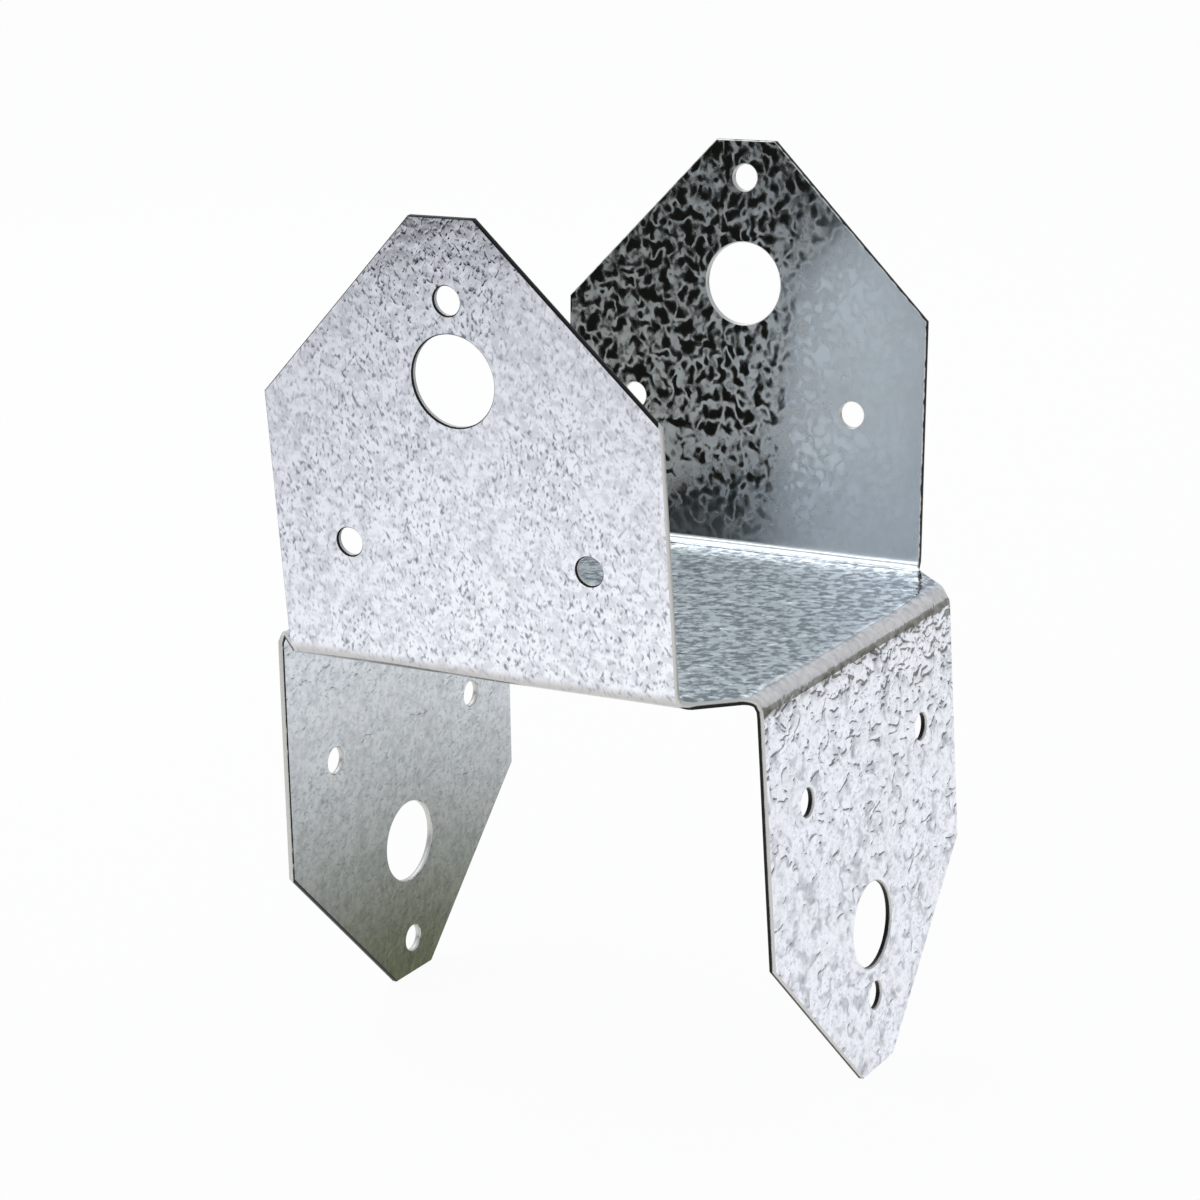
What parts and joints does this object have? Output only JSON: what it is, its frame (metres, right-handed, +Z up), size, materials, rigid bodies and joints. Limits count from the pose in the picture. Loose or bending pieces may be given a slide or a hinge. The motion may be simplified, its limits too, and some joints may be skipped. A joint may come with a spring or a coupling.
{
  "type": "post base",
  "caption": "Folded sheet steel post base: a square seat with pointed, punched flanges folded up to hold a post and down to hold a beam or pier.",
  "frame": {"origin": "centre of the seat's top face, where the post stands", "axes": "+Z up, out of the seat towards the post; the flanges that hold the post face -Y and +Y, the flanges that go down face +X and -X"},
  "size_m": [0.0965, 0.1035, 0.1511],
  "materials": {
    "galvanised_sheet": "hot-dip galvanised, satin, with a soft grey spangle and dark sheared edges"
  },
  "bodies": {
    "root": {"post_base": "galvanised_sheet"}
  },
  "joints": []
}
